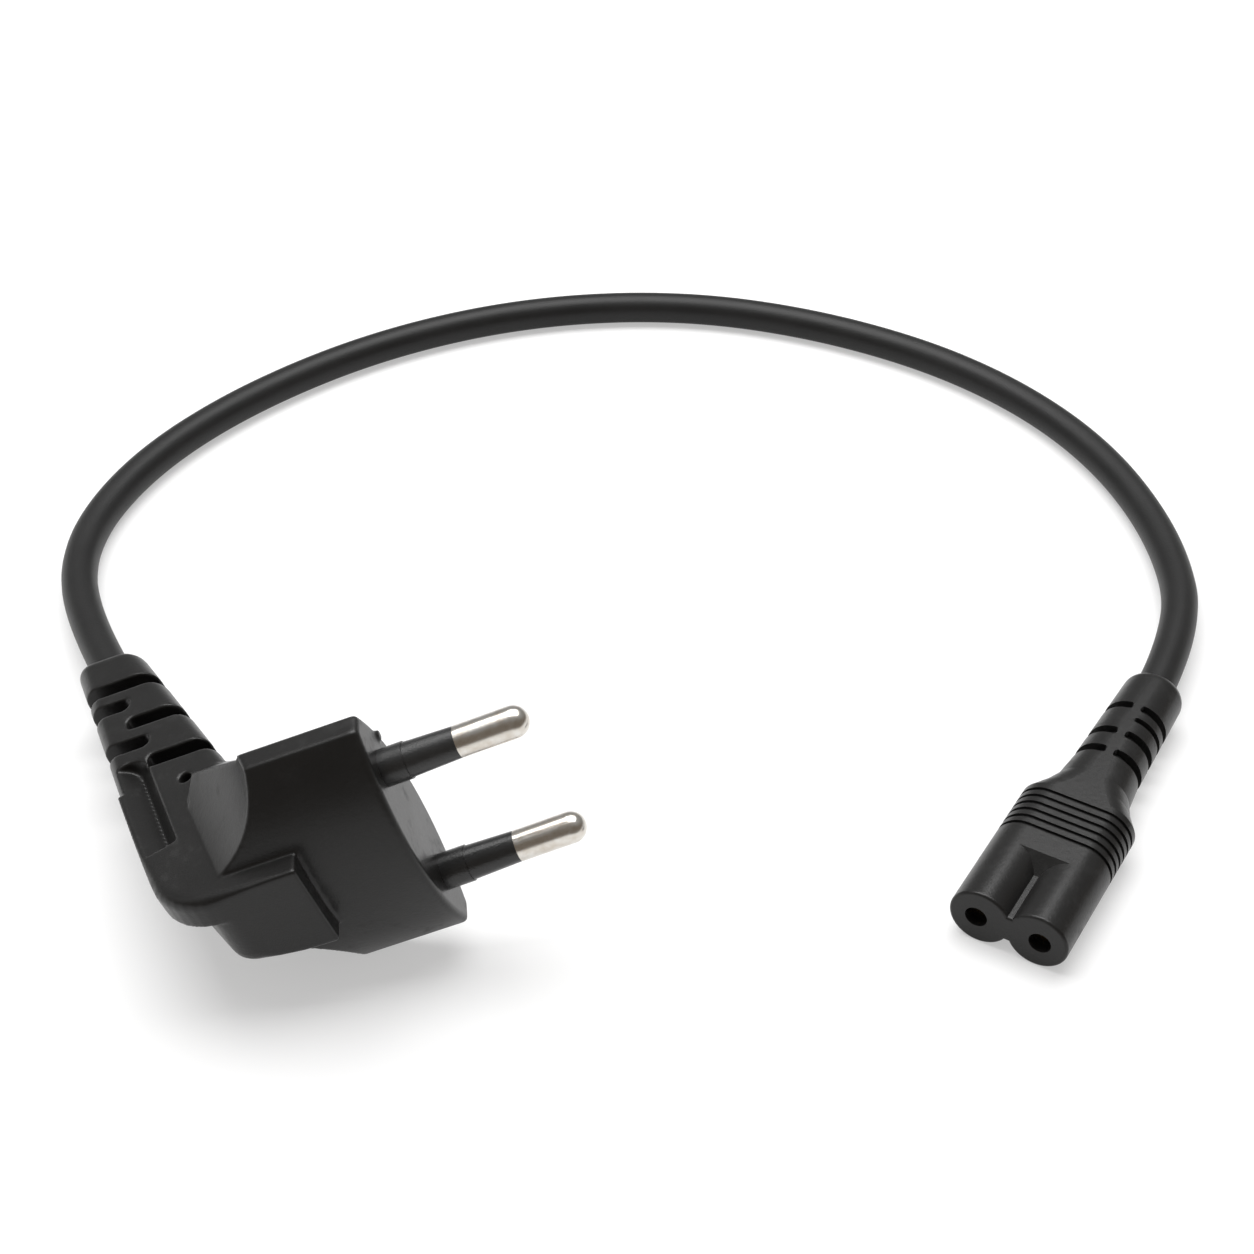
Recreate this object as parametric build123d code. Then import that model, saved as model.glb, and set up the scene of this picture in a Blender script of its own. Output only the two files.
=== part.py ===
"""Short power cord: an angled two-pin plug, a round cord and a figure-of-eight connector.

Millimetres, +Z up. The cord lies on the surface z = 0, where the plug rests on its side.
The plug is drawn in a frame of its own: +X along the pins, +Y towards the cord and Z along
the long side of the pin face. place_plug turns it into its resting position.
The connector is drawn with its mouth at x = 0 and its cord leaving towards +X.
"""
from build123d import *
import math
import os

# Fits between pieces
fit_gap = 0.05

# Plug face and the block behind it
face_length = 35.3
face_thickness = 13.7
face_tip = 3.0
block_depth = 12.9
face_edge_radius = 0.7
block_edge_radius = 0.5

# Shoulders, where the block narrows to the leg
leg_thickness = 12.8
shoulder_middle = (17.1, 10.6)
shoulder_end = 24.0

# Spine panel on the near broad side
panel_start = 12.0
panel_height = 8.2
panel_edge_radius = 0.9
outer_corner_radius = 6.5

# Leg and strain relief, from the block to the cord
leg_root_back = 33.0
leg_root_front = 14.8
leg_straight = 14.0
relief_end = 47.5
relief_end_centre = 43.0
relief_end_width = 8.8
relief_end_thickness = 9.6
leg_corner_radius = 2.8
relief_corner_radius = 3.6
relief_end_radius = 1.9

# Slots of the plug's strain relief
slot_width = 1.9
slot_corner_radius = 0.85
slot_first = 39.1
slot_pitch = 4.7
slot_bridge = 0.9
slot_core_radius = 3.3

# Small features of the plug
grip_width = 2.4
grip_depth = 1.1
grip_from, grip_to = 2.0, 19.5
locator_radius = 0.7
locator_depth = 2.5
locator_place = (-27.4, 14.7)
face_bump_radius = 1.0
face_bump_height = 0.35
face_bump_place = (3.4, 12.6)

# Pins and what holds them
pin_radius = 2.0
pin_length = 19.0
pin_spacing = 18.6
sleeve_length = 10.0
sleeve_root_length = 3.6
sleeve_root_radius = 2.35
sleeve_step_radius = 2.2
sleeve_end_radius = 1.98
sleeve_seat = 4.0
shank_radius = 1.4
pin_flange_radius = 2.6
pin_flange_thickness = 1.5
crimp_radius = 1.5
crimp_length = 4.0
crimp_depth = 3.5
bridge_front = 1.6
bridge_thickness = 5.6
bridge_width = 7.4
bridge_overlap = 3.7

# Cord
cord_radius = 2.7
core_radius = 0.95
core_offset = 1.1
conductor_radius = 0.45
jacket_in_plug = 10.0
jacket_in_connector = 12.0
straight_outside = 14.0
strip_length = 1.5
core_run = 2.2

# Route of the cord: the corners between its two straight ends, from the plug to the connector
route_height = cord_radius + 0.02
route_corners = [(-45.3, 62.0), (-40.6, 85.0), (-26.0, 106.0), (-4.0, 124.6), (22.0, 136.0),
                 (50.0, 138.4), (76.5, 131.0), (100.3, 116.0), (117.2, 94.0), (124.8, 67.0)]

# Connector
mouth_width = 16.0
connector_height = 8.2
lobe_radius = 4.1
key_width = 1.4
key_height = 4.0
key_length = 8.0
key_ramp = 3.0
body_stations = [(0.0, 16.0), (23.5, 16.0), (26.0, 12.8), (28.5, 10.6), (33.0, 9.7), (53.5, 8.6)]
mouth_edge_radius = 0.4
connector_end_radius = 2.0
groove_first = 14.6
groove_pitch = 1.45
groove_count = 6
groove_width = 0.6
groove_depth = 0.35
vent_rows = [(33.8, 1.5, (1, -1)), (38.1, 1.5, (1, -1)), (41.6, 1.0, (-1,)), (44.2, 1.4, (1, -1))]
vent_bridge = 1.1
vent_corner_radius = 0.45
vent_core_radius = 3.25
socket_spacing = 8.6
socket_radius = 1.5
insert_front = 1.5
insert_length = 12.5
insert_boss_radius = 2.7
insert_web = 2.6
contact_front = 2.5
contact_length = 9.0
contact_bore_radius = 1.25
contact_radius = 1.45
tail_radius = 1.0
tail_length = 5.0

# How the plug lies, and where the connector lies
plug_yaw = 6.5
leg_dip = 1.5
connector_mouth = (87.7, -17.7)
connector_heading = 59.0

pin_sides = {"live": 1, "neutral": -1}


def lens_outline():
    """Pin face: two shallow arcs between narrow flat tips, drawn across Y and Z."""
    tip, crown, end = face_tip / 2, face_thickness / 2, face_length / 2
    with BuildSketch(Plane.YZ) as sketch:
        with BuildLine():
            ThreePointArc((-tip, -end), (-crown, 0), (-tip, end))
            Line((-tip, end), (tip, end))
            ThreePointArc((tip, end), (crown, 0), (tip, -end))
            Line((tip, -end), (-tip, -end))
        make_face()
        fillet(sketch.vertices(), block_edge_radius)
    return sketch.sketch


def shoulder_outline():
    """Seen along Y: the full face length narrows in a hollow curve to the leg."""
    end, half_leg = face_length / 2, leg_thickness / 2
    back = -(leg_root_back + leg_thickness)
    middle_x, middle_z = -shoulder_middle[0], shoulder_middle[1]
    with BuildSketch(Plane.XZ) as sketch:
        with BuildLine():
            Line((0, -end), (0, end))
            for side in (1, -1):
                Line((0, side * end), (-block_depth, side * end))
                ThreePointArc((-block_depth, side * end), (middle_x, side * middle_z),
                              (-shoulder_end, side * half_leg))
                Line((-shoulder_end, side * half_leg), (back, side * half_leg))
            Line((back, half_leg), (back, -half_leg))
        make_face()
    return sketch.sketch


def back_edge(y):
    """X of the leg's back edge at a height y above the block's middle."""
    end_back = relief_end_centre + relief_end_width / 2
    return -(leg_root_back + (end_back - leg_root_back) * y / relief_end)


def front_edge(y):
    """X of the leg's front edge at a height y above the block's middle."""
    end_front = relief_end_centre - relief_end_width / 2
    return -(leg_root_front + (end_front - leg_root_front) * y / relief_end)


def leg_axis_x(y):
    return (back_edge(y) + front_edge(y)) / 2


def half_thickness(y):
    """Half of the relief's thickness at a height y, straight from the leg to the end."""
    share = (y - leg_straight) / (relief_end - leg_straight)
    return (leg_thickness + (relief_end_thickness - leg_thickness) * share) / 2


def plug_block():
    prism = extrude(lens_outline(), amount=-(shoulder_end + leg_thickness / 2))
    plan = extrude(shoulder_outline(), amount=face_length, both=True)
    block = prism & plan
    face_edges = block.edges().filter_by_position(Axis.X, -0.01, 0.01)
    return fillet(face_edges, face_edge_radius)


def plug_flare():
    """Web in the inner corner: as wide as the shoulders, and cut off by the leg's front edge."""
    rear = -(shoulder_end + leg_thickness / 2)
    corners = [(-block_depth, 0), (front_edge(0), 0), (front_edge(leg_straight), leg_straight),
               (rear, leg_straight), (rear, 0)]
    web = extrude(make_face(Polyline(*corners, close=True)), amount=face_length, both=True)
    return web & extrude(shoulder_outline(), amount=face_length, both=True)


def plug_elbow():
    """Spine panel and lower leg in one bent bar, rounded where it turns."""
    low = -panel_height
    corner = (back_edge(low), low)
    points = [(-panel_start, 0), (-panel_start, low), corner, (back_edge(leg_straight), leg_straight),
              (front_edge(leg_straight), leg_straight), (front_edge(0), 0)]
    with BuildSketch(Plane.XY) as sketch:
        with BuildLine():
            Polyline(*points, close=True)
        make_face()
        turn = sketch.vertices().sort_by_distance(Vector(*corner))[0]
        fillet(turn, outer_corner_radius)
    bar = extrude(sketch.sketch, amount=leg_thickness / 2, both=True)
    sides = bar.faces().filter_by(Axis.Z)
    shown = [edge for side in sides for edge in side.edges()
             if edge.center().Y < leg_straight - 0.01 and edge.center().X < -panel_start + 0.01
             and edge.center().X < front_edge(edge.center().Y) - 1.0]
    return fillet(shown, panel_edge_radius)


def relief_section(y, radius):
    width = front_edge(y) - back_edge(y)
    where = Plane(origin=(leg_axis_x(y), y, 0), x_dir=(1, 0, 0), z_dir=(0, 1, 0))
    return where * RectangleRounded(width, 2 * half_thickness(y), radius)


def plug_relief():
    body = loft([relief_section(leg_straight, leg_corner_radius),
                 relief_section(relief_end, relief_corner_radius)], ruled=True)
    end_edges = body.faces().sort_by(Axis.Y)[-1].edges()
    return fillet(end_edges, relief_end_radius)


def relief_slot(row):
    """One row of slots, cut from both broad sides down to the core round the cord."""
    y = slot_first - row * slot_pitch
    centre = leg_axis_x(y)
    low, high = back_edge(y) - 1, front_edge(y) + 1
    if row in (1, 3):
        high = centre - slot_bridge / 2 + 0.4
    if row in (2, 4):
        low = centre - slot_bridge / 2 - 0.4 + slot_bridge
    bar = Pos((low + high) / 2, y, 0) * Box(high - low, slot_width, leg_thickness + 2)
    inner_end = [edge for edge in bar.edges().filter_by(Axis.Z)
                 if back_edge(y) < edge.center().X < front_edge(y)]
    if inner_end:
        bar = fillet(inner_end, slot_corner_radius)
    core = Pos(centre, y, 0) * Rot(-90, 0, 0) * Cylinder(slot_core_radius, slot_width + 2)
    return bar - core


def grip_recess(side):
    """Long shallow recess along the leg's back edge."""
    start = Vector(back_edge(grip_from), grip_from, 0)
    end = Vector(back_edge(grip_to), grip_to, 0)
    along = end - start
    frame = Plane(origin=(start + end) / 2, x_dir=along, z_dir=(0, 0, side))
    bar = frame * (Pos(0, 0, leg_thickness / 2) * SlotOverall(along.length, 2 * grip_width).face())
    return extrude(bar, amount=-grip_depth, dir=(0, 0, side))


def plug_shape():
    body = plug_block() + plug_flare() + plug_elbow() + plug_relief()
    for row in range(5):
        body -= relief_slot(row)
    for side in (1, -1):
        body -= grip_recess(side)
        place = Pos(locator_place[0], locator_place[1], side * leg_thickness / 2)
        body -= place * Cylinder(locator_radius, 2 * locator_depth)
    bump = Pos(0, face_bump_place[0], face_bump_place[1]) * Rot(0, 90, 0) * Cylinder(
        face_bump_radius, 2 * face_bump_height)
    return body + bump


def along_x(x, radius, length, y=0.0, z=0.0):
    """Cylinder whose front end is at x and which runs back towards -X."""
    return Pos(x - length / 2, y, z) * Rot(0, 90, 0) * Cylinder(radius, length)


def pin_shape(z):
    """Stepped brass pin: round-ended rod, neck under the sleeve, flange and crimp barrel."""
    rod = along_x(pin_length - pin_radius, pin_radius, pin_length - pin_radius - sleeve_length, z=z)
    rod += Pos(pin_length - pin_radius, 0, z) * Sphere(pin_radius)
    flange_front = -sleeve_seat
    barrel_front = -(bridge_front + bridge_thickness)
    neck = along_x(sleeve_length, shank_radius, sleeve_length - barrel_front, z=z)
    flange = along_x(flange_front, pin_flange_radius, pin_flange_thickness, z=z)
    barrel = along_x(barrel_front, crimp_radius, crimp_length, z=z)
    bore = along_x(barrel_front - crimp_length + crimp_depth, conductor_radius + fit_gap, crimp_depth, z=z)
    return rod + neck + flange + barrel - bore


def sleeve_shape(z):
    """Insulating sleeve: a thick root, a small step, then a slow taper to the metal's size."""
    profile = [(-sleeve_seat, shank_radius), (-sleeve_seat, sleeve_root_radius),
               (sleeve_root_length, sleeve_root_radius), (sleeve_root_length, sleeve_step_radius),
               (sleeve_length, sleeve_end_radius), (sleeve_length, shank_radius)]
    outline = make_face(Plane.XZ * Polyline(*profile, close=True))
    return Pos(0, 0, z) * revolve(outline, Axis.X)


def bridge_outline():
    section = SlotOverall(pin_spacing + 2 * bridge_overlap, bridge_width)
    return extrude(Plane(origin=(-bridge_front, 0, 0), x_dir=(0, 0, 1), z_dir=(-1, 0, 0)) * section,
                   amount=bridge_thickness)


def bridge_shape():
    """Stadium-shaped block round both pins, with seats for the sleeves and the flanges."""
    block = bridge_outline()
    for side in pin_sides.values():
        z = side * pin_spacing / 2
        block -= along_x(0, sleeve_root_radius, sleeve_seat, z=z)
        block -= along_x(-sleeve_seat, pin_flange_radius, pin_flange_thickness, z=z)
        block -= along_x(-sleeve_seat, shank_radius, bridge_front + bridge_thickness, z=z)
    return block


def rest_pitch():
    """Nose-up angle at which the block's lower corner and the relief's end both touch down."""
    dip = math.radians(leg_dip)
    y = relief_end - relief_end_radius
    contact_x = back_edge(y) + relief_corner_radius
    contact_z = relief_corner_radius - half_thickness(y)
    drop = (face_length / 2 + contact_z) * math.cos(dip) - y * math.sin(dip)
    run = -block_depth - contact_x
    return math.degrees(math.acos(relief_corner_radius / math.hypot(drop, run)) - math.atan2(run, drop))


def place_plug(pieces):
    """Location that lays the plug down, with its bounding box centred over the origin."""
    turn = Rot(0, 0, plug_yaw) * Rot(0, -rest_pitch(), 0) * Rot(-leg_dip, 0, 0)
    box = Compound([turn * piece for piece in pieces]).bounding_box()
    centre = box.center()
    return Pos(-centre.X, -centre.Y, -box.min.Z) * turn


def stadium(width, height, x=0.0):
    """Round-ended section across the connector, at x."""
    return Plane(origin=(x, 0, 0), x_dir=(0, 1, 0), z_dir=(1, 0, 0)) * SlotOverall(width, height)


def key_valleys():
    """Cut between the two round lobes, top and bottom, that leaves the narrow flat key."""
    lobe_y = mouth_width / 2 - lobe_radius
    between = Rectangle(2 * lobe_y, connector_height + 1)
    for side in (1, -1):
        between -= Pos(side * lobe_y, 0) * Circle(lobe_radius)
    between -= Rectangle(key_width, key_height)
    section = Plane(origin=(-0.1, 0, 0), x_dir=(0, 1, 0), z_dir=(1, 0, 0)) * between
    cut = extrude(section, amount=key_length + key_ramp + 0.1)
    half = key_height / 2
    for side in (1, -1):
        wedge = make_face(Plane.XZ * Polyline(
            (key_length, 0), (key_length, side * (half - 0.6)),
            (key_length + key_ramp, side * (connector_height / 2 + 0.1)),
            (key_length + key_ramp + 1, side * (connector_height / 2 + 0.1)),
            (key_length + key_ramp + 1, 0), close=True))
        cut -= extrude(wedge, amount=mouth_width, both=True)
    return cut


def grip_grooves(section_width):
    """Row of shallow rings round the back of the connector's body."""
    rings = []
    for index in range(groove_count):
        x = groove_first + index * groove_pitch
        outer = extrude(stadium(section_width + 2, connector_height + 2, x), amount=groove_width)
        inner = extrude(stadium(section_width - 2 * groove_depth, connector_height - 2 * groove_depth, x),
                        amount=groove_width)
        rings.append(outer - inner)
    return rings


def vent(x, width, side):
    """One slot of the connector's strain relief, round one side of the core."""
    reach = mouth_width / 2
    bar = Pos(x, side * (vent_bridge + reach) / 2, 0) * Box(width, reach, connector_height + 2)
    inner = [edge for edge in bar.edges().filter_by(Axis.Z) if abs(edge.center().Y) < vent_bridge]
    return fillet(inner, vent_corner_radius) - along_x(x + width, vent_core_radius, 2 * width)


def connector_shape():
    """Figure-of-eight body that narrows through a shoulder into its strain relief."""
    body = None
    for (x0, w0), (x1, w1) in zip(body_stations, body_stations[1:]):
        part = loft([stadium(w0, connector_height, x0), stadium(w1, connector_height, x1)], ruled=True)
        body = part if body is None else body + part
    body -= key_valleys()
    mouth_edges = body.edges().filter_by_position(Axis.X, -0.01, 0.01)
    body = fillet(mouth_edges, mouth_edge_radius)
    end_x = body_stations[-1][0]
    end_edges = body.edges().filter_by_position(Axis.X, end_x - 0.01, end_x + 0.01)
    body = fillet(end_edges, connector_end_radius)
    for ring in grip_grooves(mouth_width):
        body -= ring
    for x, width, sides in vent_rows:
        for side in sides:
            body -= vent(x, width, side)
    return body


def insert_outline():
    """Two round bosses, one round each contact, and the web between them."""
    back = insert_front + insert_length
    outline = Pos(insert_front + insert_length / 2, 0, 0) * Box(insert_length, socket_spacing, insert_web)
    for side in pin_sides.values():
        outline += along_x(back, insert_boss_radius, insert_length, y=side * socket_spacing / 2)
    return outline


def insert_shape():
    """Hard block behind the mouth, with a stepped seat for each contact."""
    block = insert_outline()
    for side in pin_sides.values():
        y = side * socket_spacing / 2
        block -= along_x(contact_front, socket_radius, contact_front, y=y)
        block -= along_x(contact_front + contact_length, contact_radius, contact_length, y=y)
        block -= along_x(insert_front + insert_length + 1, tail_radius, insert_length, y=y)
    return block


def contact_shape(y):
    """Brass socket with a closed back and a crimp tail."""
    back = contact_front + contact_length
    tail_end = back + tail_length
    socket = along_x(back, contact_radius, contact_length, y=y) + along_x(tail_end, tail_radius, tail_length, y=y)
    socket -= along_x(back - 1, contact_bore_radius, contact_length, y=y)
    return socket - along_x(tail_end + 0.5, conductor_radius + fit_gap, crimp_depth + 0.5, y=y)


def bend_radii(points):
    """Largest arc at each corner that leaves its two runs a short straight middle."""
    radii = []
    for before, corner, after in zip(points, points[1:], points[2:]):
        half_turn = math.radians((corner - before).get_angle(after - corner)) / 2
        shorter = min((corner - before).length, (after - corner).length)
        radii.append(0.45 * shorter / math.tan(half_turn))
    return radii


def swept_disc(path, radius):
    start = Plane(origin=path @ 0, z_dir=path % 0)
    return sweep(start * Circle(radius), path=path)


def beside(points, offset):
    """The same route moved sideways on the level, to the left of the way it runs."""
    moved = []
    for index, point in enumerate(points):
        before = points[max(index - 1, 0)]
        after = points[min(index + 1, len(points) - 1)]
        arriving = Vector(point.X - before.X, point.Y - before.Y, 0)
        leaving = Vector(after.X - point.X, after.Y - point.Y, 0)
        arriving = arriving.normalized() if arriving.length else leaving.normalized()
        leaving = leaving.normalized() if leaving.length else arriving
        normal = Vector(-(arriving.Y + leaving.Y), arriving.X + leaving.X, 0).normalized()
        spread = offset / normal.dot(Vector(-arriving.Y, arriving.X, 0))
        moved.append(point + normal * spread)
    return moved


def plug_end(place):
    """Where the cord leaves the plug, and the direction in which it leaves."""
    outlet = (place * Pos(leg_axis_x(relief_end), relief_end, 0)).position
    root = (place * Pos(leg_axis_x(0), 0, 0)).position
    return outlet, (outlet - root).normalized()


def connector_location():
    x, y = connector_mouth
    return Pos(x, y, connector_height / 2) * Rot(0, 0, connector_heading)


def jacket_route(place):
    """Corners of the cord's route, from inside the plug to inside the connector."""
    outlet, leaving = plug_end(place)
    inlet = (connector_location() * Pos(body_stations[-1][0], 0, 0)).position
    entering = (connector_location() * Pos(1, 0, 0)).position - connector_location().position
    middle = [Vector(x, y, route_height) for x, y in route_corners]
    return ([outlet - leaving * jacket_in_plug, outlet + leaving * straight_outside] + middle
            + [inlet + entering * straight_outside, inlet - entering * jacket_in_connector])


def core_route(name, place):
    """Corners of one core's route: pin tail, leg, cord, connector and contact tail."""
    side = pin_sides[name]
    z = side * pin_spacing / 2
    crimp_end = -(bridge_front + bridge_thickness + crimp_length)
    in_plug = [(crimp_end - strip_length, 0, z), (crimp_end - strip_length - core_run, 0, z),
               (leg_axis_x(2.0), 2.0, side * 2.6), (leg_axis_x(18.0) - side * 0.75, 18.0, side * 0.85)]
    y = -side * socket_spacing / 2
    tail_end = contact_front + contact_length + tail_length
    in_connector = [(tail_end + 12.0, -side * 1.4, 0), (tail_end + strip_length + core_run, y, 0),
                    (tail_end + strip_length, y, 0)]
    points = [(place * Pos(*point)).position for point in in_plug]
    points += beside(jacket_route(place), side * core_offset)
    points += [(connector_location() * Pos(*point)).position for point in in_connector]
    return points


def past_ends(points, distance):
    """The same route with both ends pushed further out along their own runs."""
    first = points[0] + (points[0] - points[1]).normalized() * distance
    last = points[-1] + (points[-1] - points[-2]).normalized() * distance
    return [first] + points[1:-1] + [last]


def cord_tube(place):
    """Outer form of the cord, along its whole route."""
    points = jacket_route(place)
    radii = bend_radii(points)
    path = FilletPolyline(*points, radius=radii)
    tube = swept_disc(path, cord_radius)
    print("cord radii", [round(radius, 1) for radius in radii])
    print("cord volume", round(tube.volume, 2), "section times length",
          round(math.pi * cord_radius ** 2 * path.length, 2), "length", round(path.length, 1))
    return tube


def core_shapes(name, place):
    """One core: its filled channel, its insulation and the conductor that reaches both crimps."""
    points = core_route(name, place)
    radii = bend_radii(points)
    print(name, "core radii", [round(radius, 1) for radius in radii])
    path = FilletPolyline(*points, radius=radii)
    wire_path = FilletPolyline(*past_ends(points, strip_length + crimp_depth - 0.2), radius=radii)
    filled = swept_disc(path, core_radius)
    wire = swept_disc(wire_path, conductor_radius)
    return filled, filled - swept_disc(path, conductor_radius + fit_gap), wire


def build_shapes():
    """Every piece in its place, by name. The two bodies are cut out in their own frames."""
    plug = {"plug_overmould": plug_shape(), "plug_pin_bridge": bridge_shape()}
    connector = {"connector_overmould": connector_shape(), "connector_insert": insert_shape()}
    for name, side in pin_sides.items():
        plug[name + "_pin"] = pin_shape(side * pin_spacing / 2)
        plug[name + "_pin_sleeve"] = sleeve_shape(side * pin_spacing / 2)
        connector[name + "_contact"] = contact_shape(-side * socket_spacing / 2)
    place = place_plug(list(plug.values()))

    shapes = {}
    jacket = cord_tube(place)
    moulded_in = [jacket]
    for name in pin_sides:
        filled, shapes[name + "_core_insulation"], shapes[name + "_conductor"] = core_shapes(name, place)
        jacket = jacket - filled
        moulded_in += [filled, shapes[name + "_conductor"]]
    shapes["cord_jacket"] = jacket

    for solid in moulded_in:
        plug["plug_overmould"] -= place.inverse() * solid
        connector["connector_overmould"] -= connector_location().inverse() * solid
    plug["plug_overmould"] -= bridge_outline()
    connector["connector_overmould"] -= insert_outline()
    for name, side in pin_sides.items():
        for piece in ("_pin", "_pin_sleeve"):
            plug["plug_overmould"] -= plug[name + piece]
        y = side * socket_spacing / 2
        connector["connector_overmould"] -= along_x(insert_front, socket_radius, 2 * insert_front, y=y)
        connector["connector_overmould"] -= along_x(
            contact_front + contact_length + tail_length, tail_radius, tail_length, y=y)

    shapes.update({name: place * shape for name, shape in plug.items()})
    shapes.update({name: connector_location() * shape for name, shape in connector.items()})
    print("face centre", place.position, "pitch", rest_pitch())
    print("route", [tuple(round(value, 2) for value in point) for point in jacket_route(place)])
    return shapes


if __name__ == "__main__":
    os.makedirs("parts", exist_ok=True)
    for name, shape in build_shapes().items():
        print(name, round(shape.volume, 1), shape.bounding_box(), shape.is_valid, len(shape.solids()))
        export_step(shape, "parts/" + name + ".step")
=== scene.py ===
"""Short power cord: an angled slim plug, a round black cord and a figure-of-eight connector.

Metres, +Z up, in the same frame as the solids. The cord lies in a loop on a white table.
The plug's body is drawn in millimetres in a frame of its own and is then set in its place.
"""
import math

import bmesh
import bpy
from mathutils import Matrix, Vector


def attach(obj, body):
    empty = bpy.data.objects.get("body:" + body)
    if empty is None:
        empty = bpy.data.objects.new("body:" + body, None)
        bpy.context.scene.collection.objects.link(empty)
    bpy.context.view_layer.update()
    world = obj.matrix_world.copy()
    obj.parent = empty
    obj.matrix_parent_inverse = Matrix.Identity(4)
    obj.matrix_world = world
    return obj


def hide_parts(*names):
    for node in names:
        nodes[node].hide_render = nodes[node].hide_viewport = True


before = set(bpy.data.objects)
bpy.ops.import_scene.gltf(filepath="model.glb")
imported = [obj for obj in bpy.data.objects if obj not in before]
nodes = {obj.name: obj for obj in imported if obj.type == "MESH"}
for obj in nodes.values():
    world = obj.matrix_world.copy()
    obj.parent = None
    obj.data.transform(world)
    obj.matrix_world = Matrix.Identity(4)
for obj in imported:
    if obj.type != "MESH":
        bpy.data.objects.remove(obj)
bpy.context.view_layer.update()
bpy.ops.object.select_all(action="DESELECT")

# The cord, in metres. Its route runs from inside the plug to inside the connector
CORD_RADIUS = 0.0027
ROUTE = [
    (-0.02650, 0.01700, 0.00790), (-0.03860, 0.03850, 0.00450), (-0.04620, 0.06220, 0.00272),
    (-0.04060, 0.08500, 0.00272), (-0.02600, 0.10600, 0.00272), (-0.00400, 0.12460, 0.00272),
    (0.02200, 0.13600, 0.00272), (0.05000, 0.13840, 0.00272), (0.07650, 0.13100, 0.00272),
    (0.10030, 0.11600, 0.00272), (0.11720, 0.09400, 0.00272), (0.12480, 0.06700, 0.00272),
    (0.12247, 0.04016, 0.00410), (0.10907, 0.01787, 0.00410),
]

# The plug's own frame, in millimetres: +X along the pins, +Y towards the cord and +Z along the
# long side of the face. The solid material lies at negative X, behind the face.
PLUG_PLACE = (Matrix.Translation((0.0141596, -0.0157508, 0.0212484))
              @ Matrix.Rotation(math.radians(6.3), 4, "Z")
              @ Matrix.Rotation(math.radians(-19.467), 4, "Y")
              @ Matrix.Rotation(math.radians(-0.8), 4, "X")
              @ Matrix.Scale(0.001, 4))

# Pin block: a lens-shaped face, and shoulders that narrow in a hollow curve towards the leg
FACE_END, FACE_CROWN, FACE_TIP, FACE_DROP = 17.3, 6.85, 1.5, 0.35
FACE_EDGE, FACE_STEPS = 0.7, 90
BLOCK_DEPTH, BLOCK_SPARE = 14.8, 0.4
SHOULDER_END, SHOULDER_SLANT = 25.4, 0.35
SHOULDER_MIDDLE = (19.4, 10.4)

# Leg: its two edges slant back from the height of the pins to the end of the relief
LEG_BACK_LOW, LEG_BACK_HIGH = 32.9, 47.85
LEG_FRONT_LOW, LEG_FRONT_HIGH = 15.2, 38.0
HALF_LEG, LEG_STRAIGHT, LEG_OVERLAP = 6.4, 14.0, 1.0
PANEL_START, PANEL_LOW = 12.6, -9.4
LIP_UNDERSIDE, LIP_CORNER, LIP_RIM = 2.0, 9.0, 1.4
CUT_START, CUT_TOP, CUT_RADIUS, CUT_RIM = 24.5, 11.0, 4.0, 2.2
RIM_CLEAR = 1.0

# Web in the inner corner
WEB_TOP, WEB_BACK, WEB_FOOT, WEB_CORNER = 14.5, 27.2, 1.0, 4.5

# Relief and its slots
RELIEF_START, RELIEF_END, RELIEF_ROUND = 12.0, 46.3, 1.5
RELIEF_CORNER_LOW, RELIEF_CORNER_HIGH = 1.8, 3.0
SLOT_ROWS, SLOT_FIRST, SLOT_PITCH, SLOT_HALF = 5, 38.1, 4.5, 1.2
SLOT_CORE, SLOT_OVERLAP, SLOT_CORNER = 3.3, 1.75, 1.0

# Grip recess along the back edge, locator hole in each side, and the small bump on the face
GRIP_LOW, GRIP_HIGH, GRIP_EDGE, GRIP_OVER = 1.6, 20.0, 0.7, 1.5
GRIP_WIDTH, GRIP_DEPTH, GRIP_ROUND, GRIP_SHARP = 2.8, 2.2, 2.2, 0.4
HOLE_X, HOLE_Y, HOLE_RADIUS, HOLE_DEPTH = -28.2, 14.3, 0.85, 2.5
BUMP_Y, BUMP_Z, BUMP_RADIUS, BUMP_HEIGHT = 3.9, 10.9, 0.70, 0.35

# Drawing aids: a tolerance, a small overlap of shapes that are joined, and a long way off
NEAR, SLACK, FAR = 0.01, 0.1, 60.0
VOXEL, SMOOTH_FACTOR, SMOOTH_TIMES = 0.27, 0.5, 4
FLOOR_CLEARANCE = 0.00002

# Table and camera, in metres and degrees
TABLE_SIDE, TABLE_FRONT, TABLE_GLOW = 3.0, -0.21, 0.45
CAMERA_PLACE = (0.039709, -0.198651, 0.199028)
CAMERA_HEADING, CAMERA_DOWN, CAMERA_ROLL = -0.044, 38.942, 0.177
CAMERA_LENS, CAMERA_SENSOR = 60.26, 36.0

# Sockets of a Mix node that mixes colours
MIX_FACTOR, MIX_FIRST, MIX_SECOND, MIX_RESULT = 0, 6, 7, 2


# ---- Finishes

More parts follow.
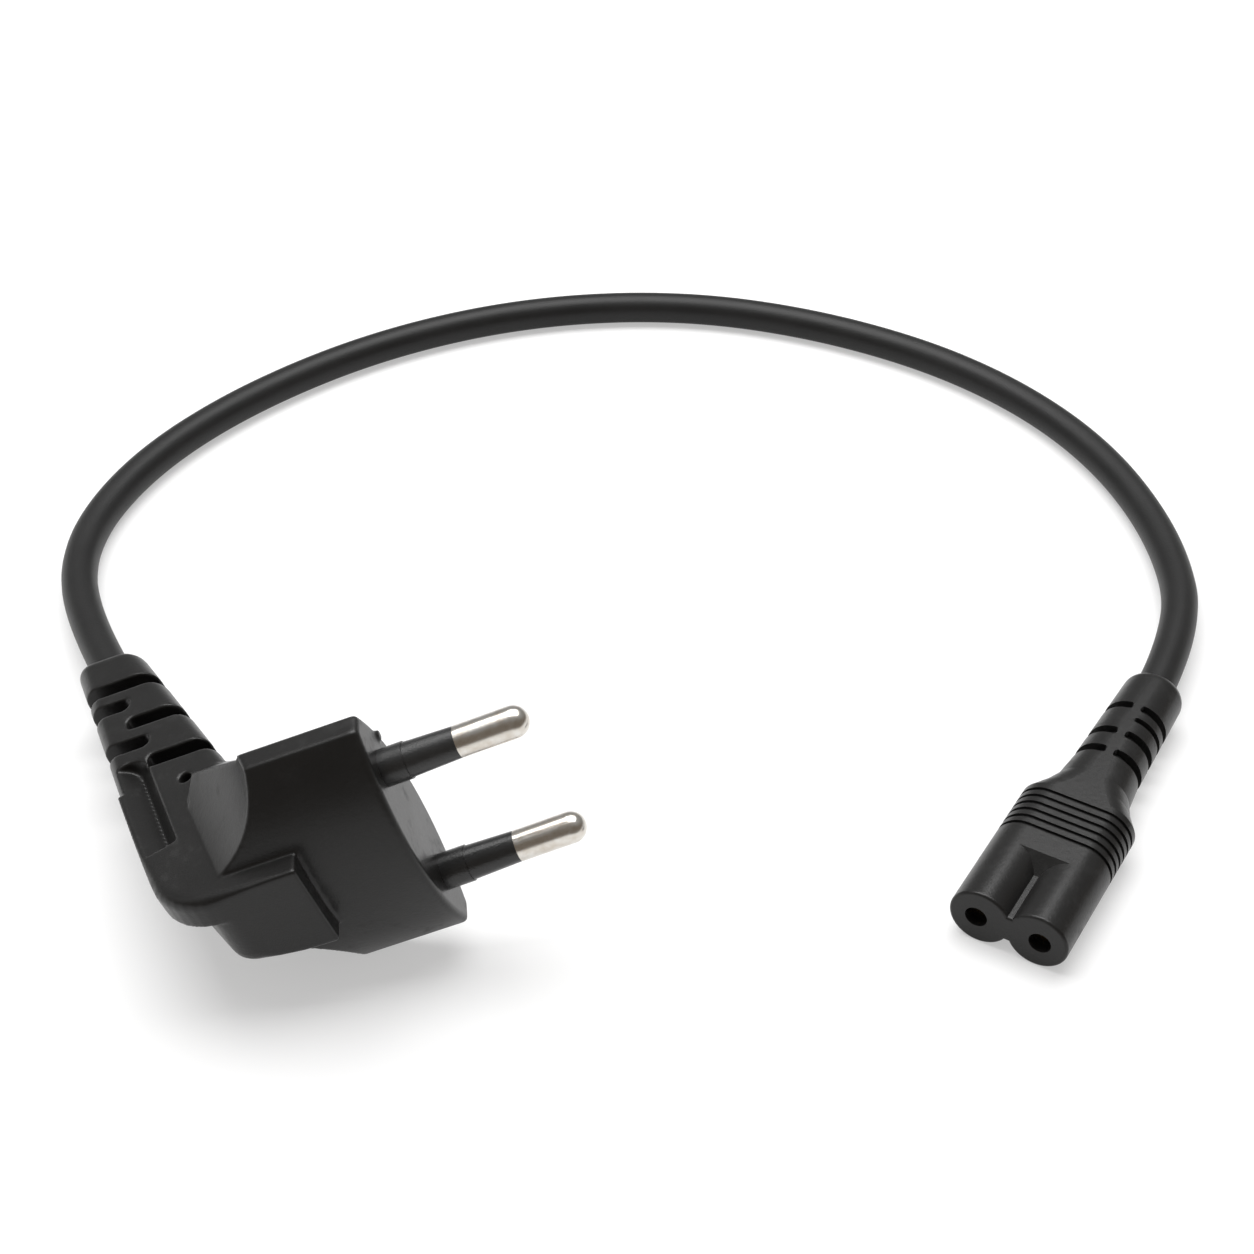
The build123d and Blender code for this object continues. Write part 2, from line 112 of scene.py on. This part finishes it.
class Value:
    """An output of a node. Arithmetic on it adds Math nodes to the same material."""

    def __init__(self, finish, output):
        self.finish = finish
        self.output = output

    def _math(self, operation, first, second):
        return self.finish.node("ShaderNodeMath", {"operation": operation}, {0: first, 1: second})

    def __add__(self, other):
        return self._math("ADD", self, other)

    __radd__ = __add__

    def __sub__(self, other):
        return self._math("SUBTRACT", self, other)

    def __rsub__(self, other):
        return self._math("SUBTRACT", other, self)

    def __mul__(self, other):
        return self._math("MULTIPLY", self, other)

    __rmul__ = __mul__

    def __truediv__(self, other):
        return self._math("DIVIDE", self, other)

    def clamped(self, low=0.0, high=1.0):
        return self._math("MINIMUM", self._math("MAXIMUM", self, low), high)

    def step(self, edge, width):
        """0 below edge and 1 above it, over a soft width."""
        return ((self - (edge - width / 2)) / width).clamped()


class Finish:
    """A named material with one Principled shader, built up from nodes."""

    def __init__(self, name):
        self.material = bpy.data.materials.new(name)
        self.material.use_nodes = True
        self.tree = self.material.node_tree
        self.tree.nodes.clear()
        self.surface = self.tree.nodes.new("ShaderNodeBsdfPrincipled")
        self.out = self.tree.nodes.new("ShaderNodeOutputMaterial")
        self.tree.links.new(self.surface.outputs["BSDF"], self.out.inputs["Surface"])

    def plug_in(self, socket, value):
        """Links a Value to a socket, or sets a plain number or colour on it."""
        if isinstance(value, Value):
            self.tree.links.new(value.output, socket)
        else:
            socket.default_value = value

    def node(self, kind, settings=None, inputs=None, output=0):
        """Adds a node with its settings, then fills its sockets. Gives one of its outputs."""
        made = self.tree.nodes.new(kind)
        for key, value in (settings or {}).items():
            setattr(made, key, value)
        for key, value in (inputs or {}).items():
            self.plug_in(made.inputs[key], value)
        return Value(self, made.outputs[output])

    def set(self, **values):
        """Sockets of the shader by name, with spaces written as underscores."""
        for key, value in values.items():
            self.plug_in(self.surface.inputs[key.replace("_", " ")], value)

    def place(self):
        return self.node("ShaderNodeTexCoord", output="Object")

    def noise(self, where, scale, detail, roughness):
        return self.node("ShaderNodeTexNoise", {"noise_dimensions": "3D"},
                         {"Vector": where, "Scale": scale, "Detail": detail,
                          "Roughness": roughness})

    def blend(self, factor, dark, light):
        """Colour between two, by a factor."""
        return self.node("ShaderNodeMix", {"data_type": "RGBA"},
                         {MIX_FACTOR: factor, MIX_FIRST: dark, MIX_SECOND: light},
                         output=MIX_RESULT)

    def bump(self, height, distance):
        return self.node("ShaderNodeBump", None,
                         {"Height": height, "Distance": distance, "Strength": 1.0})


def grey(level, warm=0.0):
    """Grey colour, drawn a little towards red by warm."""
    return (level * (1 + warm), level, level * (1 - warm), 1.0)


def moulded_pvc():
    """Soft black plastic of the plug and the connector, with the fine grain of its mould."""
    f = Finish("moulded_pvc")
    where = f.place()
    grain = f.noise(where, scale=5200.0, detail=2.0, roughness=0.55)
    pits = f.noise(where, scale=1500.0, detail=3.0, roughness=0.6)
    cloud = f.noise(where, scale=90.0, detail=3.0, roughness=0.55)
    scuff = f.noise(where, scale=420.0, detail=4.0, roughness=0.65)
    worn = scuff.step(0.60, 0.10) * cloud.step(0.50, 0.25)
    f.set(Base_Color=f.blend((cloud * 0.6 + worn * 0.4).clamped(),
                             grey(0.0085, 0.03), grey(0.0165, 0.02)),
          Roughness=(0.24 + cloud * 0.10 + worn * 0.12 + pits * 0.05).clamped(0.15, 0.8),
          IOR=1.5, Specular_IOR_Level=0.28)
    f.set(Normal=f.bump(grain * 0.5 + pits * 0.5, distance=0.000035))
    return f.material


def cord_pvc():
    """Smoother black plastic of the cord, a little matt from handling."""
    f = Finish("cord_pvc")
    where = f.place()
    grain = f.noise(where, scale=3600.0, detail=2.0, roughness=0.5)
    cloud = f.noise(where, scale=120.0, detail=3.0, roughness=0.6)
    f.set(Base_Color=f.blend(cloud, grey(0.0080, 0.0), grey(0.0140, 0.01)),
          Roughness=(0.38 + cloud * 0.12).clamped(0.2, 0.8), IOR=1.5, Specular_IOR_Level=0.25)
    f.set(Normal=f.bump(grain, distance=0.00003))
    return f.material


def sleeve_plastic():
    """Hard plastic round the pins, a little glossier than the body."""
    f = Finish("sleeve_plastic")
    where = f.place()
    grain = f.noise(where, scale=4200.0, detail=2.0, roughness=0.5)
    cloud = f.noise(where, scale=260.0, detail=3.0, roughness=0.6)
    f.set(Base_Color=f.blend(cloud, grey(0.012, 0.0), grey(0.022, 0.0)),
          Roughness=(0.24 + cloud * 0.12).clamped(0.15, 0.8), IOR=1.5, Specular_IOR_Level=0.45)
    f.set(Normal=f.bump(grain, distance=0.00003))
    return f.material


def nickel_plate():
    """Bright nickel on brass, with a light haze and a fine grain."""
    f = Finish("nickel_plate")
    where = f.place()
    haze = f.noise(where, scale=700.0, detail=4.0, roughness=0.6)
    marks = f.noise(where, scale=9000.0, detail=1.0, roughness=0.5)
    f.set(Base_Color=f.blend(haze.step(0.55, 0.4), (0.70, 0.68, 0.64, 1), (0.56, 0.50, 0.43, 1)),
          Metallic=1.0, Roughness=(0.16 + haze * 0.12).clamped(0.1, 0.5))
    f.set(Normal=f.bump(marks, distance=0.000012))
    return f.material


def contact_brass():
    """Brass of the socket contacts, deep in the connector's holes."""
    f = Finish("contact_brass")
    haze = f.noise(f.place(), scale=900.0, detail=3.0, roughness=0.6)
    f.set(Base_Color=f.blend(haze, (0.78, 0.60, 0.28, 1), (0.62, 0.44, 0.20, 1)), Metallic=1.0,
          Roughness=(0.28 + haze * 0.15).clamped(0.1, 0.7))
    f.set(Normal=f.bump(haze, distance=0.00001))
    return f.material


def dress(names, material):
    """Puts a material on the nodes of these names."""
    for name in names:
        slots = nodes[name].material_slots
        for slot in slots:
            slot.material = material
        if not slots:
            nodes[name].data.materials.append(material)


# ---- The cord

def lay_cord():
    """The cord: one smooth line through the loop, as thick as the real one.

    It stands for the jacket and for the insulated cores and conductors inside it.
    """
    curve = bpy.data.curves.new("cord_line", "CURVE")
    curve.dimensions = "3D"
    curve.bevel_depth = CORD_RADIUS
    curve.bevel_resolution = 10
    curve.use_fill_caps = True
    curve.resolution_u = 24
    spline = curve.splines.new("NURBS")
    spline.points.add(len(ROUTE) - 1)
    for point, place in zip(spline.points, ROUTE):
        point.co = (*place, 1.0)
    spline.order_u = 3
    spline.use_endpoint_u = True
    cord = bpy.data.objects.new("cord", curve)
    bpy.context.collection.objects.link(cord)
    cord.data.materials.append(cord_pvc())
    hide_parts("cord_jacket", "live_core_insulation", "neutral_core_insulation",
                "live_conductor", "neutral_conductor")
    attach(cord, "root")


# ---- Drawing aids

def arc(start, middle, end, steps=20):
    """Points on the circle through three points, from the first to the last."""
    (ax, ay), (bx, by), (cx, cy) = start, middle, end
    twice = 2 * (ax * (by - cy) + bx * (cy - ay) + cx * (ay - by))
    a, b, c = ax * ax + ay * ay, bx * bx + by * by, cx * cx + cy * cy
    centre = Vector(((a * (by - cy) + b * (cy - ay) + c * (ay - by)) / twice,
                     (a * (cx - bx) + b * (ax - cx) + c * (bx - ax)) / twice))
    return swing(centre, Vector(start) - centre, Vector(end) - centre, steps)


def swing(centre, first, last, steps):
    """Points round a centre, from one arm to another."""
    turn = -first.angle_signed(last)
    return [tuple(centre + Matrix.Rotation(turn * step / steps, 2) @ first)
            for step in range(steps + 1)]


def rounded(corners, radii, steps=8):
    """Outline with some of its corners rounded. radii holds a radius by corner number."""
    outline = []
    for number, corner in enumerate(corners):
        corner = Vector(corner)
        if number not in radii:
            outline.append(tuple(corner))
            continue
        before = (Vector(corners[number - 1]) - corner).normalized()
        after = (Vector(corners[(number + 1) % len(corners)]) - corner).normalized()
        half = before.angle(after) / 2
        reach = radii[number] / math.tan(half)
        centre = corner + (before + after).normalized() * radii[number] / math.sin(half)
        first, last = corner + before * reach - centre, corner + after * reach - centre
        outline += swing(centre, first, last, steps)
    return outline


def circle(x, y, radius, steps):
    """Points round a full circle."""
    angles = [turn * math.pi / (steps / 2) for turn in range(steps)]
    return [(x + radius * math.cos(angle), y + radius * math.sin(angle)) for angle in angles]


def solid(rings):
    """Closed mesh through rings of points, each with the same number of points."""
    mesh = bmesh.new()
    rows = [[mesh.verts.new(point) for point in ring] for ring in rings]
    mesh.faces.new(rows[0])
    mesh.faces.new(rows[-1])
    for low, high in zip(rows, rows[1:]):
        for number in range(len(low)):
            mesh.faces.new((low[number - 1], low[number], high[number], high[number - 1]))
    bmesh.ops.recalc_face_normals(mesh, faces=mesh.faces)
    data = bpy.data.meshes.new("shape")
    mesh.to_mesh(data)
    mesh.free()
    made = bpy.data.objects.new("shape", data)
    bpy.context.collection.objects.link(made)
    return made


def prism(outline, way):
    """Flat outline of 3-D points, drawn out along a vector."""
    return solid([outline, [tuple(Vector(point) + Vector(way)) for point in outline]])


def upright(outline, low, high):
    """Outline across X and Y, drawn out from one Z to another."""
    return prism([(x, y, low) for x, y in outline], (0, 0, high - low))


def soften(piece, chosen, width, segments=4):
    """Bevels the edges whose two ends are chosen."""
    mesh = bmesh.new()
    mesh.from_mesh(piece.data)
    edges = [edge for edge in mesh.edges if all(chosen(vertex.co) for vertex in edge.verts)]
    bmesh.ops.bevel(mesh, geom=edges, offset=width, segments=segments, profile=0.5,
                    affect="EDGES")
    mesh.to_mesh(piece.data)
    mesh.free()
    return piece


def work(piece, kind, **settings):
    """Adds one modifier with these settings and applies it."""
    bpy.ops.object.select_all(action="DESELECT")
    bpy.context.view_layer.objects.active = piece
    piece.select_set(True)
    change = piece.modifiers.new("change", kind)
    for key, value in settings.items():
        setattr(change, key, value)
    bpy.ops.object.modifier_apply(modifier=change.name)


def combine(piece, tools, operation):
    """Joins, cuts or intersects a piece with each tool, which is used up."""
    for tool in tools:
        work(piece, "BOOLEAN", operation=operation, object=tool, solver="EXACT")
        bpy.data.objects.remove(tool)
    return piece


# ---- The plug's body

def back_edge(y):
    """X of the leg's back edge at a height y."""
    return -(LEG_BACK_LOW + (LEG_BACK_HIGH - LEG_BACK_LOW) * y / RELIEF_END)


def front_edge(y):
    """X of the leg's front edge at a height y."""
    return -(LEG_FRONT_LOW + (LEG_FRONT_HIGH - LEG_FRONT_LOW) * y / RELIEF_END)


def shoulder_plan():
    """The hollow shoulders seen along Y, drawn out a little slanting across the plug."""
    sides = []
    for side in (1, -1):
        curve = [(-x, side * z) for x, z in
                 arc((BLOCK_DEPTH, FACE_END), SHOULDER_MIDDLE, (SHOULDER_END, HALF_LEG))]
        front = (SHOULDER_SLANT * 2 * FACE_END, side * FACE_END)
        sides.append([front] + curve + [(-FAR, side * HALF_LEG)])
    outline = sides[0] + sides[1][::-1]
    shift = SHOULDER_SLANT * FACE_END
    lowered = [(x + shift, -FACE_END, z - (FACE_DROP if abs(z) > HALF_LEG + SLACK else 0))
               for x, z in outline]
    return prism(lowered, (-2 * shift, 2 * FACE_END, 0))


def plug_block():
    """Pin block: the lens of the face with its edge softened, cut to the shoulders."""
    lens = arc((-FACE_TIP, -FACE_END), (-FACE_CROWN, 0), (-FACE_TIP, FACE_END), FACE_STEPS)
    lens += arc((FACE_TIP, FACE_END), (FACE_CROWN, 0), (FACE_TIP, -FACE_END), FACE_STEPS)
    block = prism([(0, y, z - FACE_DROP) for y, z in lens], (-SHOULDER_END - BLOCK_SPARE, 0, 0))
    soften(block, lambda place: place.x > -NEAR, FACE_EDGE)
    return combine(block, [shoulder_plan()], "INTERSECT")


def plug_web():
    """Web in the inner corner, as wide as the shoulders, that slopes down to the leg."""
    corners = [(-BLOCK_DEPTH, -WEB_FOOT), (-BLOCK_DEPTH, WEB_FOOT),
               (front_edge(WEB_TOP), WEB_TOP), (-WEB_BACK, WEB_TOP), (-WEB_BACK, -WEB_FOOT)]
    web = upright(rounded(corners, {3: WEB_CORNER}), -FACE_END, FACE_END)
    top = WEB_TOP + SLACK
    slope = [(-WEB_FOOT, FACE_END), (0, FACE_END), (top, HALF_LEG), (top, -HALF_LEG),
             (0, -FACE_END), (-WEB_FOOT, -FACE_END)]
    wedge = [(0, y, z) for y, z in slope]
    return combine(web, [shoulder_plan(), prism(wedge, (-FAR, 0, 0))], "INTERSECT")


def elbow_bar(corners, radii, low, high, rim_z, rim_radius):
    """Bent bar between two heights, with the outer rim of one of its sides rounded."""
    bar = upright(rounded(corners, radii), low, high)

    def on_rim(place):
        return (abs(place.z - rim_z) < NEAR and place.y < LEG_STRAIGHT - NEAR
                and place.x < -PANEL_START - NEAR
                and place.x < front_edge(place.y) - RIM_CLEAR)

    return soften(bar, on_rim, rim_radius)


def plug_elbow():
    """Spine panel and lower leg: a wide lip above, and below it a body cut back at the corner."""
    over = LEG_STRAIGHT + LEG_OVERLAP
    shared = [(back_edge(over), over), (front_edge(over), over), (front_edge(0), 0),
              (-PANEL_START, 0), (-PANEL_START, PANEL_LOW)]
    lip = elbow_bar(shared + [(back_edge(PANEL_LOW), PANEL_LOW)], {5: LIP_CORNER},
                    LIP_UNDERSIDE, HALF_LEG, HALF_LEG, LIP_RIM)
    under = elbow_bar(shared + [(-CUT_START, PANEL_LOW), (back_edge(CUT_TOP), CUT_TOP)],
                      {5: CUT_RADIUS, 6: CUT_RADIUS},
                      -HALF_LEG, LIP_UNDERSIDE + SLACK, -HALF_LEG, CUT_RIM)
    return [lip, under]


def relief_ring(y, inset, radius):
    """One rounded oblong section of the relief, at a height y."""
    left, right = back_edge(y) + inset, front_edge(y) - inset
    top = HALF_LEG - inset
    corners = [(left, -top), (right, -top), (right, top), (left, top)]
    return [(x, y, z) for x, z in rounded(corners, dict.fromkeys(range(4), radius))]


def slot_cutter(row):
    """Cutter of one row of slots. It leaves the round core whole."""
    y = SLOT_FIRST - row * SLOT_PITCH
    centre = (back_edge(y) + front_edge(y)) / 2
    low, high = back_edge(y) - 1, front_edge(y) + 1
    radii = {}
    if row in (1, 3):
        high, radii = centre, {1: SLOT_CORNER, 2: SLOT_CORNER}
    if row in (2, 4):
        low, radii = centre - SLOT_OVERLAP, {0: SLOT_CORNER, 3: SLOT_CORNER}
    outline = rounded([(low, y - SLOT_HALF), (high, y - SLOT_HALF), (high, y + SLOT_HALF),
                       (low, y + SLOT_HALF)], radii)
    bar = upright(outline, -10, 10)
    core = solid([[(x, y + shift, z) for x, z in circle(centre, 0.0, SLOT_CORE, 48)]
                  for shift in (-2, 2)])
    return combine(bar, [core], "DIFFERENCE")


def plug_relief():
    """Tapering relief with a rounded end and five rows of slots on both sides."""
    straight_end = RELIEF_END - RELIEF_ROUND
    rings = [relief_ring(RELIEF_START, 0.0, RELIEF_CORNER_LOW),
             relief_ring(straight_end, 0.0, RELIEF_CORNER_HIGH)]
    for step in range(1, 6):
        angle = math.pi / 2 * step / 5
        inset = RELIEF_ROUND * (1 - math.cos(angle))
        rings.append(relief_ring(straight_end + RELIEF_ROUND * math.sin(angle), inset,
                                 RELIEF_CORNER_HIGH - inset * 0.8))
    relief = solid(rings)
    for row in range(SLOT_ROWS):
        combine(relief, [slot_cutter(row)], "DIFFERENCE")
    return relief


def grip_recess(side):
    """Long recess along the leg's back edge. Its floor slopes down to a step on its inner side."""
    start = Vector((back_edge(GRIP_LOW), GRIP_LOW, 0))
    along = Vector((back_edge(GRIP_HIGH), GRIP_HIGH, 0)) - start
    inward = Vector((along.y, -along.x, 0)).normalized()
    ahead = along.normalized()
    fall = math.atan2(GRIP_DEPTH, GRIP_WIDTH)
    up = Vector((0, 0, math.cos(fall))) + inward * math.sin(fall)
    across = up.cross(ahead)
    outer = start + inward * GRIP_EDGE + Vector((0, 0, HALF_LEG))
    reach = math.hypot(GRIP_WIDTH, GRIP_DEPTH)
    flat = rounded([(0, GRIP_OVER), (along.length, GRIP_OVER), (along.length, -reach),
                    (0, -reach)], {2: GRIP_ROUND, 3: GRIP_SHARP})
    floor = [outer + ahead * a + across * b for a, b in flat]
    return prism([(p.x, p.y, p.z * side) for p in floor], (up.x * 3, up.y * 3, up.z * 3 * side))


def small_holes():
    """Cutters of the grip recess and the locator hole on both sides of the leg."""
    tools = [grip_recess(side) for side in (1, -1)]
    for side in (1, -1):
        tools.append(upright(circle(HOLE_X, HOLE_Y, HOLE_RADIUS, 24),
                             side * (HALF_LEG - HOLE_DEPTH), side * (HALF_LEG + 1)))
    return tools


def plug_body(material):
    """The plug's soft body in one piece, with slightly rounded edges.

    The shapes are joined by a fine remesh, drawn back to their true surface and smoothed. What
    would reach below the table is pressed flat on it.
    """
    parts = [plug_block(), plug_web(), *plug_elbow(), plug_relief()]
    for part in parts[1:]:
        combine(part, small_holes(), "DIFFERENCE")
    parts.append(solid([[(x, y, z) for y, z in circle(BUMP_Y, BUMP_Z, BUMP_RADIUS, 16)]
                        for x in (-1.0, BUMP_HEIGHT)]))
    bpy.ops.object.select_all(action="DESELECT")
    for part in parts:
        part.select_set(True)
    body = parts[0]
    bpy.context.view_layer.objects.active = body
    bpy.ops.object.join()
    drawn = body.copy()
    drawn.data = body.data.copy()
    bpy.context.collection.objects.link(drawn)
    work(body, "REMESH", mode="VOXEL", voxel_size=VOXEL, adaptivity=0.0)
    work(body, "SHRINKWRAP", target=drawn, wrap_method="NEAREST_SURFACEPOINT")
    bpy.data.objects.remove(drawn)
    work(body, "SMOOTH", factor=SMOOTH_FACTOR, iterations=SMOOTH_TIMES)
    body.data.transform(PLUG_PLACE)
    for vertex in body.data.vertices:
        vertex.co.z = max(vertex.co.z, FLOOR_CLEARANCE)
    body.name = "plug_body"
    body.data.name = "plug_body"
    body.data.materials.clear()
    body.data.materials.append(material)
    body.data.shade_smooth()
    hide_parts("plug_overmould")
    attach(body, "root")


# ---- Table, light and camera

def table():
    """Wide white table top, pure white to the eye but for the soft shadow that it takes."""
    bpy.ops.mesh.primitive_plane_add(size=1.0, location=(0.0, 0.0, 0.0))
    top = bpy.context.active_object
    corners = ((-TABLE_SIDE, TABLE_FRONT), (TABLE_SIDE, TABLE_FRONT),
               (-TABLE_SIDE, TABLE_SIDE), (TABLE_SIDE, TABLE_SIDE))
    for vertex, (x, y) in zip(top.data.vertices, corners):
        vertex.co = (x, y, 0.0)
    top.name = "table_top"
    f = Finish("white_table")
    f.set(Base_Color=grey(0.86), Roughness=0.9, Specular_IOR_Level=0.1)
    path = f.tree.nodes.new("ShaderNodeLightPath")
    seen = Value(f, path.outputs["Is Camera Ray"])
    glossy = Value(f, path.outputs["Is Glossy Ray"])
    through = Value(f, path.outputs["Is Transmission Ray"])
    glow = f.node("ShaderNodeEmission", None, {"Color": grey(1.0), "Strength": 1.0})
    shown = (seen + glossy + through).clamped()
    mixed = f.node("ShaderNodeMixShader", None,
                   {0: shown * TABLE_GLOW, 1: Value(f, f.surface.outputs["BSDF"]), 2: glow})
    f.tree.links.new(mixed.output, f.out.inputs["Surface"])
    top.data.materials.append(f.material)


def lamp(name, place, towards, size, power):
    """Soft white oblong lamp that faces a point. Its power is in watts."""
    light = bpy.data.lights.new(name, "AREA")
    light.shape = "RECTANGLE"
    light.size, light.size_y = size
    light.energy = power
    made = bpy.data.objects.new(name, light)
    bpy.context.collection.objects.link(made)
    made.location = place
    made.rotation_euler = (Vector(towards) - Vector(place)).to_track_quat("-Z", "Y").to_euler()


def light_up():
    """A pale room that is bright overhead and dim on the camera's side, and two soft lamps."""
    world = bpy.data.worlds.new("studio")
    bpy.context.scene.world = world
    world.use_nodes = True
    tree = world.node_tree
    tree.nodes.clear()
    out = tree.nodes.new("ShaderNodeOutputWorld")
    place = tree.nodes.new("ShaderNodeTexCoord")
    split = tree.nodes.new("ShaderNodeVectorMath")
    split.operation = "DOT_PRODUCT"
    split.inputs[1].default_value = (-0.15, 0.55, 0.85)
    tree.links.new(place.outputs["Generated"], split.inputs[0])
    fade = tree.nodes.new("ShaderNodeValToRGB")
    fade.color_ramp.interpolation = "EASE"
    stops = ((0.05, (0.20, 0.175, 0.15, 1)), (0.60, (0.33, 0.33, 0.33, 1)))
    for element, (position, colour) in zip(fade.color_ramp.elements, stops):
        element.position = position
        element.color = colour
    tree.links.new(split.outputs["Value"], fade.inputs[0])
    ambient = tree.nodes.new("ShaderNodeBackground")
    tree.links.new(fade.outputs["Color"], ambient.inputs["Color"])
    ambient.inputs["Strength"].default_value = 1.0
    shown = tree.nodes.new("ShaderNodeBackground")
    shown.inputs["Color"].default_value = (1, 1, 1, 1)
    shown.inputs["Strength"].default_value = 1.0
    path = tree.nodes.new("ShaderNodeLightPath")
    mix = tree.nodes.new("ShaderNodeMixShader")
    tree.links.new(path.outputs["Is Camera Ray"], mix.inputs[0])
    tree.links.new(ambient.outputs[0], mix.inputs[1])
    tree.links.new(shown.outputs[0], mix.inputs[2])
    tree.links.new(mix.outputs[0], out.inputs["Surface"])
    lamp("top_softbox", (0.00, 0.25, 0.75), (0.04, 0.05, 0.0), (0.9, 0.6), power=10.5)
    lamp("left_softbox", (-0.55, -0.05, 0.45), (0.0, 0.02, 0.0), (0.4, 0.6), power=0.35)


def camera():
    """Camera at the photo's viewing angle."""
    data = bpy.data.cameras.new("camera")
    data.sensor_width = CAMERA_SENSOR
    data.sensor_height = CAMERA_SENSOR
    data.lens = CAMERA_LENS
    data.clip_start, data.clip_end = 0.01, 20.0
    made = bpy.data.objects.new("camera", data)
    bpy.context.collection.objects.link(made)
    made.location = CAMERA_PLACE
    heading = Matrix.Rotation(math.radians(CAMERA_HEADING), 3, "Z")
    tilt = Matrix.Rotation(math.radians(90 - CAMERA_DOWN), 3, "X")
    roll = Matrix.Rotation(math.radians(CAMERA_ROLL), 3, "Z")
    made.rotation_euler = (heading @ tilt @ roll).to_euler()
    bpy.context.scene.camera = made


camera()
lay_cord()
moulded = moulded_pvc()
sleeves = sleeve_plastic()
nickel = nickel_plate()
brass = contact_brass()
plug_body(moulded)
dress(["connector_overmould"], moulded)
dress(["live_pin_sleeve", "neutral_pin_sleeve", "plug_pin_bridge", "connector_insert"], sleeves)
dress(["live_pin", "neutral_pin"], nickel)
dress(["live_contact", "neutral_contact"], brass)
table()
light_up()

bpy.context.scene.view_settings.view_transform = "Standard"
